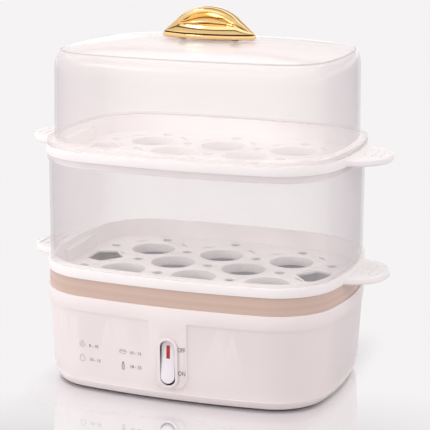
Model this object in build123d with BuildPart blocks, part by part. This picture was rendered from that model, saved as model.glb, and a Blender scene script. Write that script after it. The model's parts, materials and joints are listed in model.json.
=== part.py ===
"""Two-tier electric egg boiler: heated base, two perforated egg trays, a clear tier wall and a clear lid.

Millimetres. +Z is up, the long axis lies along X and the switch faces -Y. The origin is the point on
the table under the middle of the base.
"""

import os
from math import atan2, cos, degrees, radians, sin, sqrt

from build123d import *

os.makedirs("parts", exist_ok=True)

# ---------------------------------------------------------------- driving dimensions

# Plan outline shared by every tier, taken at the tray rim: a rectangle with bowed sides
half_length = 127.0
half_depth = 94.0
long_bow = 13.0         # how far a long side falls away over half its length
short_bow = 20.6        # how far an end falls away over half its depth
corner_radius = 52.7

# Heights of the stacked pieces
foot_lift = 2.0         # the housing's lower edge stands this far off the table
housing_height = 78.0
band_height = 14.8
rim_height = 7.2        # outer face of a tray's rim
chamber_height = 87.8
lid_height = 83.0       # lid's foot to the top of its crown

# Clearances
slip_gap = 0.3          # between pieces that drop into each other
pin_gap = 0.06          # radial, between a pivot pin and its hole
screw_gap = 0.1         # radial, between a screw and its hole
small_sides = 8         # small hidden posts, studs and screws are drawn with this many flats

# Base housing
housing_wall = 2.5
deck_thickness = 4.5    # closed top, with the opening for the water pan
collar_height = 12.0    # plain collar round the top, above the recessed panels
panel_depth = 0.8       # the panels lie this far behind the collar, the switch tab and the skirt
skirt_height = 6.3      # plain skirt below the panels
foot_curve_height = 14.0
foot_curve_radius = 25.0
foot_curve_inset = 2.95
tab_width = 32.0
tab_bottom = 10.5       # above the housing's lower edge
tab_corner = 11.5

# Trim band
band_inset = 1.0
tier_wall_inset = 4.0   # inner face of the band and of the tier wall, which the tray drops into

# Water pan in the deck
pan_length = 222.0      # over the flange
pan_width = 156.0
pan_corner = 44.0
pan_flange_width = 9.0
pan_sheet = 1.0
pan_depth = 14.0        # underside of the flange to underside of the floor
pan_draft = 2.0
gasket_thickness = 1.0
stud_radius = 2.0
nut_width = 7.0
nut_height = 3.2

# Heater under the pan
heater_length = 110.0
heater_width = 62.0
heater_bar_width = 9.0
heater_bar_height = 8.0
heater_opening = 34.0   # the U is open over this length
cold_pin_radius = 1.6
cold_pin_length = 9.0
clamp_length = 92.0
clamp_width = 14.0
clamp_thickness = 1.5
centre_stud_radius = 2.5
thermostat_radius = 8.0
thermostat_offset = 22.0
fuse_radius = 2.4
fuse_length = 24.0

# Bottom cover
cover_thickness = 2.2
cover_rise = 0.4        # above the housing's lower edge
post_radius = 5.0
post_height = 22.0
post_web = 2.0
post_web_length = 7.8   # from the post's middle into the wall
screw_radius = 1.5
screw_head_radius = 2.8
screw_head_height = 1.4
cover_screw_length = 12.0
foot_radius = 7.0
foot_seat_depth = 0.8
foot_setback = 17.0     # from a corner post towards the middle, along each axis
vent_length = 26.0
vent_width = 3.0
vent_pitch = 9.0
vents_per_row = 5
vent_row_pitch = 60.0

# Switch
switch_height = 32.4    # switch centre above the housing's lower edge
bezel_length = 42.0
bezel_width = 17.0
bezel_thickness = 1.4
rocker_length = 35.0
rocker_width = 11.4
rocker_dish = 0.9       # the face is hollow by this much
rocker_proud = 0.7      # rocker's ends above the tab when it is level
rocker_belly = 9.0      # face to the underside in the middle
rocker_belly_length = 14.0
rocker_lip = 4.0        # thickness at the ends
rocker_throw = 14.0     # degrees between ON and OFF
pivot_depth = 6.0
pivot_radius = 1.5
rocker_side_gap = 0.5
rocker_end_gap = 1.2
switch_wall = 1.5
switch_depth = 20.0
terminal_width = 6.3
terminal_thickness = 0.8
terminal_length = 9.0
terminal_pitch = 10.0
terminal_count = 3
lens_length = 11.0
lens_width = 3.0
lens_depth = 1.2
lens_offset = 8.1
lens_proud = 0.1

# Mains inlet at the back
gland_height = 22.0     # above the housing's lower edge
gland_bore_radius = 3.4
gland_sleeve_radius = 6.0
gland_flange_radius = 9.0
gland_flange = 2.5
gland_tail = 9.0
block_length = 34.0
block_width = 18.0
block_height = 13.0
block_x = 46.0
block_y = 46.0
block_ways = 3
block_groove = 1.6
block_screw_radius = 2.2
block_screw_height = 1.6

# Egg trays
tray_floor = 2.0
tray_drop = 11.6        # rim top to the floor's top face
tray_slope = 3.2        # how far the inner wall leans inwards on its way down
lip_height = 2.4        # locating lip that stands above the rim
lip_width = 1.7
cup_radius = 18.7
cup_wall = 1.4
cup_depth = 7.6         # floor's top face to the collar's lower edge
cup_pitch = 62.4        # between the cups of a row
row_pitch = 69.3        # between the two outer rows
cup_sides = 16          # repeated holes are drawn with flats, which keeps the trays light
vent_radius = 4.5
vent_sides = 8
end_vent_x = 97.5
side_vent_y = 67.0
middle_vent_y = 72.0
slot_reach = 29.0       # cup centre to slot centre
slot_half_length = 8.0
slot_half_width = 1.6
end_hole_tip = 76.0
end_hole_shoulder = 90.0
end_hole_end = 104.5
end_hole_half_width = 18.0
end_hole_end_half_width = 13.0
ledge_inner_x = 113.0   # flat thumb ledge inside each end
ledge_half_width = 28.0
ledge_drop = 1.5
handle_radius = 32.5
handle_reach = 154.0    # from the middle to a handle's tip
handle_drop = 1.4       # rim top to the handle's top face
handle_chamfer = 1.2
groove_setback = 20.0   # from a handle's tip to its innermost groove
groove_pitch = 6.3
groove_count = 3
groove_width = 2.0
groove_length = 30.0
groove_depth = 0.8

# Clear tier wall between the trays
chamber_foot_inset = 2.0
chamber_head_height = 5.8
chamber_head_inset = 0.7

# Lid
flange_height = 4.5
flange_inset = 0.2
lid_wall = 2.0
lid_foot_inset = 6.3
lid_draft_inset = 1.2   # how far the wall leans inwards up to its shoulder
shoulder_drop = 30.0    # crown's top to where the shoulder starts
shoulder_height = 22.5
shoulder_turn = 65.0    # degrees the shoulder turns through
shoulder_steps = 2
shoulder_end_reach = 16.5
shoulder_side_extra = 15.5
shoulder_edge = 4.0     # flat-sided edge between the shoulder and the crown
shoulder_edge_rise = 2.6
crown_radius_x = 1200.0
crown_radius_y = 260.0
crown_strips = 5
crown_depth = 14.0      # more than the crown rises above the shoulder
boss_length = 90.0
boss_width = 40.0
boss_tip_radius = 12.0
boss_rise = 0.8         # above the crown

# Lid handle
handle_base_length = 79.0
handle_base_width = 27.0
handle_base_height = 3.2
handle_tip_radius = 6.0 # of the base and the arch, seen from above
handle_seam = 0.6       # shadow line between the base and the arch
handle_seam_inset = 1.6
arch_length = 77.0
arch_width = 23.0
arch_height = 22.0
arch_shoulder_x = 27.0
arch_shoulder_z = 10.5
ribbon_height = 5.0     # ridge left above the finger scoops
scoop_radius = 19.0
scoop_web = 7.0         # thickness left between the two scoops
scoop_height = 19.0     # where the web is thinnest, above the base
lid_screw_pitch = 44.0
lid_screw_radius = 2.0
lid_screw_reach = 7.0   # into the arch
lid_screw_head_radius = 4.0
lid_screw_head_height = 2.4
lid_pad_radius = 6.0
lid_pad_depth = 4.0     # crown's top to the pads' flat undersides, where the screw heads sit

# ---------------------------------------------------------------- levels and places worked out from them

z_housing = foot_lift
z_deck = z_housing + housing_height
z_band_top = z_deck + band_height
z_lower_rim = z_band_top + rim_height
z_chamber_top = z_lower_rim + chamber_height
z_upper_rim = z_chamber_top + rim_height
z_crown = z_upper_rim + lid_height

z_flange = z_deck - pan_sheet                   # underside of the pan's flange
z_pan_floor = z_flange - pan_depth
z_clamp = z_pan_floor - heater_bar_height
z_cover = z_housing + cover_rise
z_cover_top = z_cover + cover_thickness
z_boss = z_crown + boss_rise
z_arch = z_boss + handle_base_height

panel_top = housing_height - collar_height
wall_draft = degrees(atan2(foot_curve_inset, panel_top - foot_curve_height))
housing_inset = panel_depth + housing_wall      # inner face, behind the flush surface
tray_skirt_inset = tier_wall_inset + slip_gap
lip_inset = tray_skirt_inset + lip_width


def side_radius(half_span, bow):
    """Radius of an arc that falls away by bow over half_span either side of its middle."""
    return (half_span**2 + bow**2) / (2 * bow)


def outline(inset=0.0, side_extra=0.0):
    """The tier outline, moved inwards by inset, and by side_extra more on its two long sides.

    Four large circles overlap, and the corners between them are rounded.
    """
    long_radius = side_radius(half_length, long_bow)
    short_radius = side_radius(half_depth, short_bow)
    with BuildSketch(mode=Mode.PRIVATE) as plan:
        with Locations((0, half_depth - long_radius)):
            Circle(long_radius - inset - side_extra)
        with Locations((0, long_radius - half_depth)):
            Circle(long_radius - inset - side_extra, mode=Mode.INTERSECT)
        for side in (-1, 1):
            with Locations((side * (half_length - short_radius), 0)):
                Circle(short_radius - inset, mode=Mode.INTERSECT)
        fillet(plan.vertices(), corner_radius - inset - side_extra / 2)
    return plan.sketch


def corner_points(inset):
    """The four points in the outline's corners, moved inwards by inset along the diagonals."""
    points = []
    for corner in outline().edges().sort_by(SortBy.RADIUS)[:4]:
        centre = corner.arc_center
        reach = (corner_radius - inset) / sqrt(2)
        side_x = 1 if centre.X > 0 else -1
        side_y = 1 if centre.Y > 0 else -1
        points.append((centre.X + side_x * reach, centre.Y + side_y * reach))
    return points


def oval(length, width, tip_radius):
    """Two long arcs that meet in rounded tips."""
    half_width = width / 2
    to_tip = length / 2 - tip_radius
    radius = (to_tip**2 / (half_width - tip_radius) + tip_radius + half_width) / 2
    with BuildSketch(mode=Mode.PRIVATE) as plan:
        with Locations((0, half_width - radius)):
            Circle(radius)
        with Locations((0, radius - half_width)):
            Circle(radius, mode=Mode.INTERSECT)
        fillet(plan.vertices(), tip_radius)
    return plan.sketch


def flush_inset(height):
    """Inset of the housing's flush surface at a height above its lower edge."""
    if height >= panel_top:
        return 0.0
    straight = foot_curve_inset * (panel_top - height) / (panel_top - foot_curve_height)
    if height >= foot_curve_height:
        return straight
    below = foot_curve_height - height
    return straight + foot_curve_radius - sqrt(foot_curve_radius**2 - below**2)


def wall_plane(height, side, inset):
    """Plane on the housing's drafted wall, in the middle of the front (side -1) or back (side 1)."""
    tilt = radians(wall_draft)
    y = side * (half_depth - flush_inset(height) - inset)
    normal = (0, side * cos(tilt), -sin(tilt))
    return Plane((0, y, z_housing + height), x_dir=(-side, 0, 0), z_dir=normal)


def save(builder, name):
    """Label a finished sub-part and write it as its own STEP file."""
    builder.part.label = name
    export_step(builder.part, f"parts/{name}.step")


# ---------------------------------------------------------------- base housing

panel_levels = (skirt_height, foot_curve_height, panel_top)
pan_opening_length = pan_length - 2 * pan_flange_width
pan_opening_width = pan_width - 2 * pan_flange_width
pan_opening_corner = pan_corner - pan_flange_width
stud_places = [
    (side_x * (pan_length - pan_flange_width) / 2, side_y * pan_width / 4)
    for side_x in (-1, 1)
    for side_y in (-1, 1)
]
post_points = corner_points(flush_inset(0) + housing_inset + post_radius)

front_wall = wall_plane(switch_height, -1, 0)
back_wall = wall_plane(gland_height, 1, panel_depth)
cavity_length = rocker_length + 2 * rocker_end_gap
cavity_width = rocker_width + 2 * rocker_side_gap
body_length = cavity_length + 2 * switch_wall
body_width = cavity_width + 2 * switch_wall

# The body inside the recessed panels' surface
with BuildPart() as panel_core:
    for height in panel_levels:
        with BuildSketch(Plane.XY.offset(z_housing + height)):
            add(outline(flush_inset(height) + panel_depth))
    loft(ruled=True)

# What is cut away all round to recess the panels, apart from the tab that carries the switch
with BuildPart() as panel_recess:
    with BuildSketch(Plane.XY.offset(z_housing + skirt_height)):
        Rectangle(3 * half_length, 3 * half_depth)
    extrude(amount=panel_top - skirt_height)
    add(panel_core.part, mode=Mode.SUBTRACT)
    with BuildSketch(Plane.XZ.offset(half_depth / 2)) as tab:
        with Locations((0, z_housing + tab_bottom)):
            Rectangle(tab_width, housing_height, align=(Align.CENTER, Align.MIN))
        fillet(tab.vertices().group_by(Axis.Y)[0], tab_corner)
    extrude(amount=half_depth, mode=Mode.SUBTRACT)

with BuildPart() as base_housing:
    for height in (0, *panel_levels, housing_height):
        with BuildSketch(Plane.XY.offset(z_housing + height)):
            add(outline(flush_inset(height)))
    loft(ruled=True)
    add(panel_recess.part, mode=Mode.SUBTRACT)
    # hollow below the deck, open at the bottom and straight above the foot's curve
    for height in (0, foot_curve_height):
        with BuildSketch(Plane.XY.offset(z_housing + height)):
            add(outline(flush_inset(height) + housing_inset))
    loft(ruled=True, mode=Mode.SUBTRACT)
    with BuildSketch(Plane.XY.offset(z_housing + foot_curve_height)):
        add(outline(flush_inset(foot_curve_height) + housing_inset))
    extrude(amount=housing_height - deck_thickness - foot_curve_height, mode=Mode.SUBTRACT)
    # rebate for the pan's flange and gasket, and the opening the pan hangs through
    with BuildSketch(Plane.XY.offset(z_deck)):
        RectangleRounded(pan_length + 2 * slip_gap, pan_width + 2 * slip_gap, pan_corner + slip_gap)
    extrude(amount=-(pan_sheet + gasket_thickness), mode=Mode.SUBTRACT)
    with BuildSketch(Plane.XY.offset(z_deck)):
        RectangleRounded(pan_opening_length, pan_opening_width, pan_opening_corner)
    extrude(amount=-deck_thickness, mode=Mode.SUBTRACT)
    with BuildSketch(Plane.XY.offset(z_deck)):
        with Locations(*stud_places):
            RegularPolygon(stud_radius + screw_gap, small_sides)
    extrude(amount=-deck_thickness, mode=Mode.SUBTRACT)
    # a screw post in each corner, standing on the bottom cover
    with BuildSketch(Plane.XY.offset(z_cover_top)):
        with Locations(*post_points):
            RegularPolygon(post_radius, small_sides)
        for x, y in post_points:
            # a web ties the post to the wall
            with Locations(Location((x, y), degrees(atan2(y / abs(y), x / abs(x))))):
                Rectangle(post_web_length, post_web, align=(Align.MIN, Align.CENTER))
    extrude(amount=post_height)
    with BuildSketch(Plane.XY.offset(z_cover_top)):
        with Locations(*post_points):
            RegularPolygon(screw_radius + screw_gap, small_sides)
    extrude(amount=cover_screw_length, mode=Mode.SUBTRACT)
    # openings for the switch body and for the mains inlet
    with BuildSketch(front_wall):
        SlotOverall(body_length + 2 * slip_gap, body_width + 2 * slip_gap, rotation=90)
    extrude(amount=4 * housing_wall, both=True, mode=Mode.SUBTRACT)
    with BuildSketch(back_wall):
        Circle(gland_sleeve_radius + slip_gap)
    extrude(amount=4 * housing_wall, both=True, mode=Mode.SUBTRACT)
save(base_housing, "base_housing")

# ---------------------------------------------------------------- trim band

with BuildPart() as trim_band:
    with BuildSketch(Plane.XY.offset(z_deck)):
        add(outline(band_inset))
        add(outline(tier_wall_inset), mode=Mode.SUBTRACT)
    extrude(amount=band_height)
save(trim_band, "trim_band")

# ---------------------------------------------------------------- water pan, its gasket and fixings

with BuildPart() as pan_gasket:
    with BuildSketch(Plane.XY.offset(z_flange)):
        RectangleRounded(pan_length, pan_width, pan_corner)
        RectangleRounded(pan_opening_length, pan_opening_width, pan_opening_corner, mode=Mode.SUBTRACT)
        with Locations(*stud_places):
            RegularPolygon(stud_radius + screw_gap, small_sides, mode=Mode.SUBTRACT)
    extrude(amount=-gasket_thickness)
save(pan_gasket, "pan_gasket")

bowl_length = pan_opening_length - 2 * slip_gap
bowl_width = pan_opening_width - 2 * slip_gap
bowl_corner = pan_opening_corner - slip_gap

with BuildPart() as water_pan:
    with BuildSketch(Plane.XY.offset(z_flange)):
        RectangleRounded(pan_length, pan_width, pan_corner)
    extrude(amount=pan_sheet)
    for height, inset in ((z_flange, 0), (z_pan_floor, pan_draft)):
        with BuildSketch(Plane.XY.offset(height)):
            RectangleRounded(bowl_length - 2 * inset, bowl_width - 2 * inset, bowl_corner - inset)
    loft(ruled=True)
    inside = ((z_deck, pan_sheet), (z_pan_floor + pan_sheet, pan_sheet + pan_draft))
    for height, inset in inside:
        with BuildSketch(Plane.XY.offset(height)):
            RectangleRounded(bowl_length - 2 * inset, bowl_width - 2 * inset, bowl_corner - inset)
    loft(ruled=True, mode=Mode.SUBTRACT)
    # studs welded under the flange and under the middle of the floor
    with BuildSketch(Plane.XY.offset(z_flange)):
        with Locations(*stud_places):
            RegularPolygon(stud_radius, small_sides)
    extrude(amount=-(deck_thickness - pan_sheet))
    with BuildSketch(Plane.XY.offset(z_pan_floor)):
        RegularPolygon(centre_stud_radius, small_sides)
    extrude(amount=-(heater_bar_height + clamp_thickness))
save(water_pan, "water_pan")

with BuildPart() as pan_nuts:
    with BuildSketch(Plane.XY.offset(z_deck - deck_thickness)):
        with Locations(*stud_places):
            RegularPolygon(nut_width / 2, 6, major_radius=False)
    extrude(amount=-nut_height)
save(pan_nuts, "pan_nuts")

# ---------------------------------------------------------------- heater, clamp, thermostat and fuse

inner_heater_width = heater_width - 2 * heater_bar_width
leg_y = (heater_width - heater_bar_width) / 2
leg_end_x = heater_opening - heater_length / 2

with BuildPart() as heating_element:
    with BuildSketch(Plane.XY.offset(z_pan_floor)):
        SlotOverall(heater_length, heater_width)
        SlotOverall(heater_length - 2 * heater_bar_width, inner_heater_width, mode=Mode.SUBTRACT)
        with Locations((leg_end_x, 0)):
            Rectangle(heater_length, heater_length, align=(Align.MAX, Align.CENTER), mode=Mode.SUBTRACT)
    extrude(amount=-heater_bar_height)
    pin_plane = Plane((leg_end_x, 0, z_pan_floor - heater_bar_height / 2), x_dir=(0, 1, 0), z_dir=(-1, 0, 0))
    with BuildSketch(pin_plane):
        with Locations((-leg_y, 0), (leg_y, 0)):
            RegularPolygon(cold_pin_radius, small_sides)
    extrude(amount=cold_pin_length)
save(heating_element, "heating_element")

with BuildPart() as heater_clamp:
    with BuildSketch(Plane.XY.offset(z_clamp)):
        Rectangle(clamp_length, clamp_width)
        Rectangle(clamp_width, heater_width)
        RegularPolygon(centre_stud_radius + screw_gap, small_sides, mode=Mode.SUBTRACT)
    extrude(amount=-clamp_thickness)
save(heater_clamp, "heater_clamp")

with BuildPart() as clamp_nut:
    with BuildSketch(Plane.XY.offset(z_clamp - clamp_thickness)):
        RegularPolygon(nut_width / 2, 6, major_radius=False)
    extrude(amount=-nut_height)
save(clamp_nut, "clamp_nut")

with BuildPart() as thermostat:
    with BuildSketch(Plane.XY.offset(z_clamp)):
        with Locations((thermostat_offset, 0)):
            Circle(thermostat_radius)
    extrude(amount=heater_bar_height)
    with BuildSketch(Plane.XY.offset(z_clamp + heater_bar_height / 2)):
        with Locations((thermostat_offset, 0)):
            Rectangle(terminal_width, 2 * thermostat_radius + terminal_length)
    extrude(amount=terminal_thickness)
save(thermostat, "thermostat")

with BuildPart() as thermal_fuse:
    fuse_plane = Plane.XZ.offset(-fuse_length / 2)
    with BuildSketch(fuse_plane):
        with Locations((-thermostat_offset, z_clamp + fuse_radius)):
            Circle(fuse_radius)
    extrude(amount=fuse_length)
save(thermal_fuse, "thermal_fuse")

# ---------------------------------------------------------------- bottom cover, feet and screws

foot_points = [
    (x - foot_setback * (1 if x > 0 else -1), y - foot_setback * (1 if y > 0 else -1))
    for x, y in post_points
]

with BuildPart() as bottom_cover:
    with BuildSketch(Plane.XY.offset(z_cover)):
        add(outline(flush_inset(0) + housing_inset + slip_gap))
        with GridLocations(vent_pitch, vent_row_pitch, vents_per_row, 2):
            Rectangle(vent_width, vent_length, mode=Mode.SUBTRACT)
    extrude(amount=cover_thickness)
    with BuildSketch(Plane.XY.offset(z_cover)):
        with Locations(*post_points):
            RegularPolygon(screw_radius + screw_gap, small_sides)
    extrude(amount=cover_thickness, mode=Mode.SUBTRACT)
    with BuildSketch(Plane.XY.offset(z_cover)):
        with Locations(*post_points):
            RegularPolygon(screw_head_radius + screw_gap, small_sides)
    extrude(amount=screw_head_height, mode=Mode.SUBTRACT)
    with BuildSketch(Plane.XY.offset(z_cover)):
        with Locations(*foot_points):
            Circle(foot_radius + screw_gap)
    extrude(amount=foot_seat_depth, mode=Mode.SUBTRACT)
save(bottom_cover, "bottom_cover")

with BuildPart() as cover_screws:
    with BuildSketch(Plane.XY.offset(z_cover)):
        with Locations(*post_points):
            RegularPolygon(screw_head_radius, small_sides)
    extrude(amount=screw_head_height)
    with BuildSketch(Plane.XY.offset(z_cover)):
        with Locations(*post_points):
            RegularPolygon(screw_radius, small_sides)
    extrude(amount=cover_screw_length)
save(cover_screws, "cover_screws")

with BuildPart() as rubber_feet:
    with BuildSketch(Plane.XY):
        with Locations(*foot_points):
            Circle(foot_radius)
    extrude(amount=z_cover + foot_seat_depth)
save(rubber_feet, "rubber_feet")

# ---------------------------------------------------------------- mains inlet and terminal block

with BuildPart() as cord_gland:
    with BuildSketch(back_wall):
        Circle(gland_flange_radius)
    extrude(amount=gland_flange)
    with BuildSketch(back_wall):
        Circle(gland_sleeve_radius)
    extrude(amount=-gland_tail)
    with BuildSketch(back_wall):
        Circle(gland_bore_radius)
    extrude(amount=2 * gland_tail, both=True, mode=Mode.SUBTRACT)
save(cord_gland, "cord_gland")

way_pitch = block_length / block_ways
with BuildPart() as terminal_block:
    with BuildSketch(Plane.XY.offset(z_cover_top)):
        with Locations((block_x, block_y)):
            Rectangle(block_length, block_width)
    extrude(amount=block_height)
    with BuildSketch(Plane.XY.offset(z_cover_top + block_height)):
        with Locations((block_x, block_y)):
            with GridLocations(way_pitch, 1, block_ways - 1, 1):
                Rectangle(block_groove, block_width)
    extrude(amount=-block_height / 2, mode=Mode.SUBTRACT)
save(terminal_block, "terminal_block")

with BuildPart() as block_screws:
    with BuildSketch(Plane.XY.offset(z_cover_top + block_height)):
        with Locations((block_x, block_y)):
            with GridLocations(way_pitch, 1, block_ways, 1):
                RegularPolygon(block_screw_radius, small_sides)
    extrude(amount=block_screw_height)
save(block_screws, "block_screws")

# ---------------------------------------------------------------- switch bezel, body and terminals

with BuildPart() as switch_bezel:
    with BuildSketch(front_wall):
        SlotOverall(bezel_length, bezel_width, rotation=90)
        SlotOverall(cavity_length, cavity_width, rotation=90, mode=Mode.SUBTRACT)
    extrude(amount=bezel_thickness)
save(switch_bezel, "switch_bezel")

with BuildPart() as switch_body:
    with BuildSketch(front_wall):
        SlotOverall(body_length, body_width, rotation=90)
    extrude(amount=-switch_depth)
    with BuildSketch(front_wall):
        SlotOverall(cavity_length, cavity_width, rotation=90)
    extrude(amount=-(switch_depth - switch_wall), mode=Mode.SUBTRACT)
    with BuildSketch(Plane(front_wall.offset(-pivot_depth).origin, x_dir=(0, 1, 0), z_dir=(1, 0, 0))):
        Circle(pivot_radius + pin_gap)
    extrude(amount=body_width, both=True, mode=Mode.SUBTRACT)
save(switch_body, "switch_body")

with BuildPart() as switch_terminals:
    with BuildSketch(front_wall.offset(-switch_depth)):
        with GridLocations(1, terminal_pitch, 1, terminal_count):
            Rectangle(terminal_width, terminal_thickness)
    extrude(amount=-terminal_length)
save(switch_terminals, "switch_terminals")

# ---------------------------------------------------------------- rocker and its indicator lens

# At rest the top (OFF) end is pressed in, so the rocker is turned back by half its throw.
rocker_tilt = radians(wall_draft - rocker_throw / 2)
pivot = front_wall.offset(-pivot_depth).origin
rocker_plane = Plane(pivot, x_dir=(1, 0, 0), z_dir=(0, -cos(rocker_tilt), -sin(rocker_tilt)))
side_plane = Plane(pivot, x_dir=rocker_plane.y_dir, z_dir=(1, 0, 0))
face_end = pivot_depth + rocker_proud
face_middle = face_end - rocker_dish
half_rocker = rocker_length / 2
face_radius = side_radius(half_rocker, rocker_dish)


def face_height(along):
    """Height of the rocker's hollow face over its pivot, at a distance along it from the middle."""
    return face_middle + face_radius - sqrt(face_radius**2 - along**2)


with BuildPart() as rocker_button:
    with BuildSketch(side_plane):
        with BuildLine():
            ThreePointArc((-half_rocker, face_end), (0, face_middle), (half_rocker, face_end))
            Polyline(
                (half_rocker, face_end),
                (half_rocker, face_end - rocker_lip),
                (rocker_belly_length / 2, face_middle - rocker_belly),
                (-rocker_belly_length / 2, face_middle - rocker_belly),
                (-half_rocker, face_end - rocker_lip),
                (-half_rocker, face_end),
            )
        make_face()
    extrude(amount=rocker_width / 2, both=True)
    with BuildSketch(rocker_plane):
        SlotOverall(rocker_length, rocker_width, rotation=90)
    extrude(amount=rocker_length, both=True, mode=Mode.INTERSECT)
    # pocket for the lens, below the OFF end
    with BuildSketch(rocker_plane.offset(face_height(lens_offset) - lens_depth)):
        with Locations((0, lens_offset)):
            Rectangle(lens_width, lens_length)
    extrude(amount=rocker_lip, mode=Mode.SUBTRACT)
    with BuildSketch(side_plane):
        Circle(pivot_radius)
    extrude(amount=body_width / 2, both=True)
save(rocker_button, "rocker_button")

with BuildPart() as indicator_lens:
    lens_low = lens_offset - lens_length / 2
    lens_high = lens_offset + lens_length / 2
    lens_floor = face_height(lens_offset) - lens_depth
    with BuildSketch(side_plane):
        with BuildLine():
            ThreePointArc(
                (lens_low, face_height(lens_low) + lens_proud),
                (lens_offset, face_height(lens_offset) + lens_proud),
                (lens_high, face_height(lens_high) + lens_proud),
            )
            Polyline(
                (lens_high, face_height(lens_high) + lens_proud),
                (lens_high, lens_floor),
                (lens_low, lens_floor),
                (lens_low, face_height(lens_low) + lens_proud),
            )
        make_face()
    extrude(amount=lens_width / 2, both=True)
save(indicator_lens, "indicator_lens")

# ---------------------------------------------------------------- egg trays

cup_places = [(column * cup_pitch, row * row_pitch / 2) for column in (-1, 0, 1) for row in (-1, 1)]
middle_cup_places = [(-cup_pitch / 2, 0), (cup_pitch / 2, 0)]
vent_places = [(column * cup_pitch, 0) for column in (-1, 0, 1)]
vent_places += [(0, row * middle_vent_y) for row in (-1, 1)]
for row in (-1, 1):
    for column in (-1, 1):
        vent_places.append((column * cup_pitch / 2, row * row_pitch / 2))
        vent_places.append((column * end_vent_x, row * row_pitch / 2))
        vent_places.append((column * cup_pitch, row * side_vent_y))


def slot_places():
    """Place and direction of the narrow slots, on the diagonals outside the cups of both rows."""
    places = []
    for x, y in cup_places:
        for side_x in (-1, 1):
            for side_y in (-1, 1):
                outer_side = side_y * y > 0
                outer_end = side_x * x > 0
                if outer_side or outer_end:
                    reach = slot_reach / sqrt(2)
                    places.append((x + side_x * reach, y + side_y * reach, -45 * side_x * side_y))
    return places


def make_tongues(z_rim):
    """Both tongue handles of a tray: a bar with round ends, its edges bevelled, cut away inside the rim."""
    with BuildPart() as tongues:
        with BuildSketch(Plane.XY.offset(z_rim - rim_height)):
            SlotOverall(2 * handle_reach, 2 * handle_radius)
        extrude(amount=rim_height - handle_drop)
        levels = tongues.edges().group_by(Axis.Z)
        chamfer(levels[0] + levels[-1], handle_chamfer)
        with BuildSketch(Plane.XY.offset(z_rim)):
            add(outline(tier_wall_inset))
        extrude(amount=-rim_height, mode=Mode.SUBTRACT)
        with BuildSketch(Plane.XY.offset(z_rim - handle_drop)):
            for side in (-1, 1):
                for groove in range(groove_count):
                    with Locations((side * (handle_reach - groove_setback + groove * groove_pitch), 0)):
                        Rectangle(groove_width, groove_length)
        extrude(amount=-groove_depth, mode=Mode.SUBTRACT)
    return tongues.part


def make_tray(z_rim, name):
    """One egg tray, with its rim's top face at z_rim."""
    z_floor = z_rim - tray_drop
    tongues = make_tongues(z_rim)
    with BuildPart() as tray:
        # rim, and the wall that drops into the tier below
        with BuildSketch(Plane.XY.offset(z_rim)):
            add(outline())
        extrude(amount=-rim_height)
        with BuildSketch(Plane.XY.offset(z_floor - tray_floor)):
            add(outline(tray_skirt_inset))
        extrude(amount=tray_drop + tray_floor + lip_height)
        for height, inset in ((z_rim + lip_height, lip_inset), (z_floor, lip_inset + tray_slope)):
            with BuildSketch(Plane.XY.offset(height)):
                add(outline(inset))
        loft(ruled=True, mode=Mode.SUBTRACT)
        # flat thumb ledge inside each end
        with BuildSketch(Plane.XY.offset(z_floor)):
            add(outline(lip_inset))
            Rectangle(2 * half_length, 2 * ledge_half_width, mode=Mode.INTERSECT)
            Rectangle(2 * ledge_inner_x, 2 * half_depth, mode=Mode.SUBTRACT)
        extrude(amount=tray_drop - ledge_drop)
        add(tongues)
        # collars of the egg cups, then every hole through the floor
        with BuildSketch(Plane.XY.offset(z_floor - cup_depth)):
            with Locations(*cup_places, *middle_cup_places):
                RegularPolygon(cup_radius + cup_wall, cup_sides)
        extrude(amount=cup_depth - tray_floor / 2)
        with BuildSketch(Plane.XY.offset(z_floor - cup_depth)):
            with Locations(*cup_places, *middle_cup_places):
                RegularPolygon(cup_radius, cup_sides)
            with Locations(*vent_places):
                RegularPolygon(vent_radius, vent_sides)
            for x, y, direction in slot_places():
                with Locations(Location((x, y), direction)):
                    Polygon(
                        (-slot_half_length, 0),
                        (0, -slot_half_width),
                        (slot_half_length, 0),
                        (0, slot_half_width),
                    )
            for side in (-1, 1):
                Polygon(
                    (side * end_hole_tip, 0),
                    (side * end_hole_shoulder, end_hole_half_width),
                    (side * end_hole_end, end_hole_end_half_width),
                    (side * end_hole_end, -end_hole_end_half_width),
                    (side * end_hole_shoulder, -end_hole_half_width),
                    align=None,
                )
        extrude(amount=cup_depth, mode=Mode.SUBTRACT)
    save(tray, name)


make_tray(z_lower_rim, "lower_tray")
make_tray(z_upper_rim, "upper_tray")

# ---------------------------------------------------------------- clear tier wall

with BuildPart() as chamber_wall:
    with BuildSketch(Plane.XY.offset(z_lower_rim)):
        add(outline(chamber_foot_inset))
    extrude(amount=chamber_height)
    with BuildSketch(Plane.XY.offset(z_chamber_top)):
        add(outline(chamber_head_inset))
    extrude(amount=-chamber_head_height)
    with BuildSketch(Plane.XY.offset(z_lower_rim)):
        add(outline(tier_wall_inset))
    extrude(amount=chamber_height, mode=Mode.SUBTRACT)
save(chamber_wall, "chamber_wall")

# ---------------------------------------------------------------- lid


def crown_arch(x, thickness):
    """The room under one arc across the lid, which runs along the crown's slope at x."""
    half_drop = crown_radius_y - sqrt(crown_radius_y**2 - half_depth**2)
    slope = x / crown_radius_x
    top = z_crown - thickness - x**2 / (2 * crown_radius_x)
    across = Plane((x, 0, top), x_dir=(0, 1, 0), z_dir=(cos(slope), 0, -sin(slope)))
    with BuildPart() as arch:
        with BuildSketch(across.offset(-2 * half_length)):
            with BuildLine():
                ThreePointArc((-half_depth, -half_drop), (0, 0), (half_depth, -half_drop))
                Polyline(
                    (half_depth, -half_drop),
                    (half_depth, -z_crown),
                    (-half_depth, -z_crown),
                    (-half_depth, -half_drop),
                )
            make_face()
        extrude(amount=4 * half_length)
    return arch.part


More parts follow.
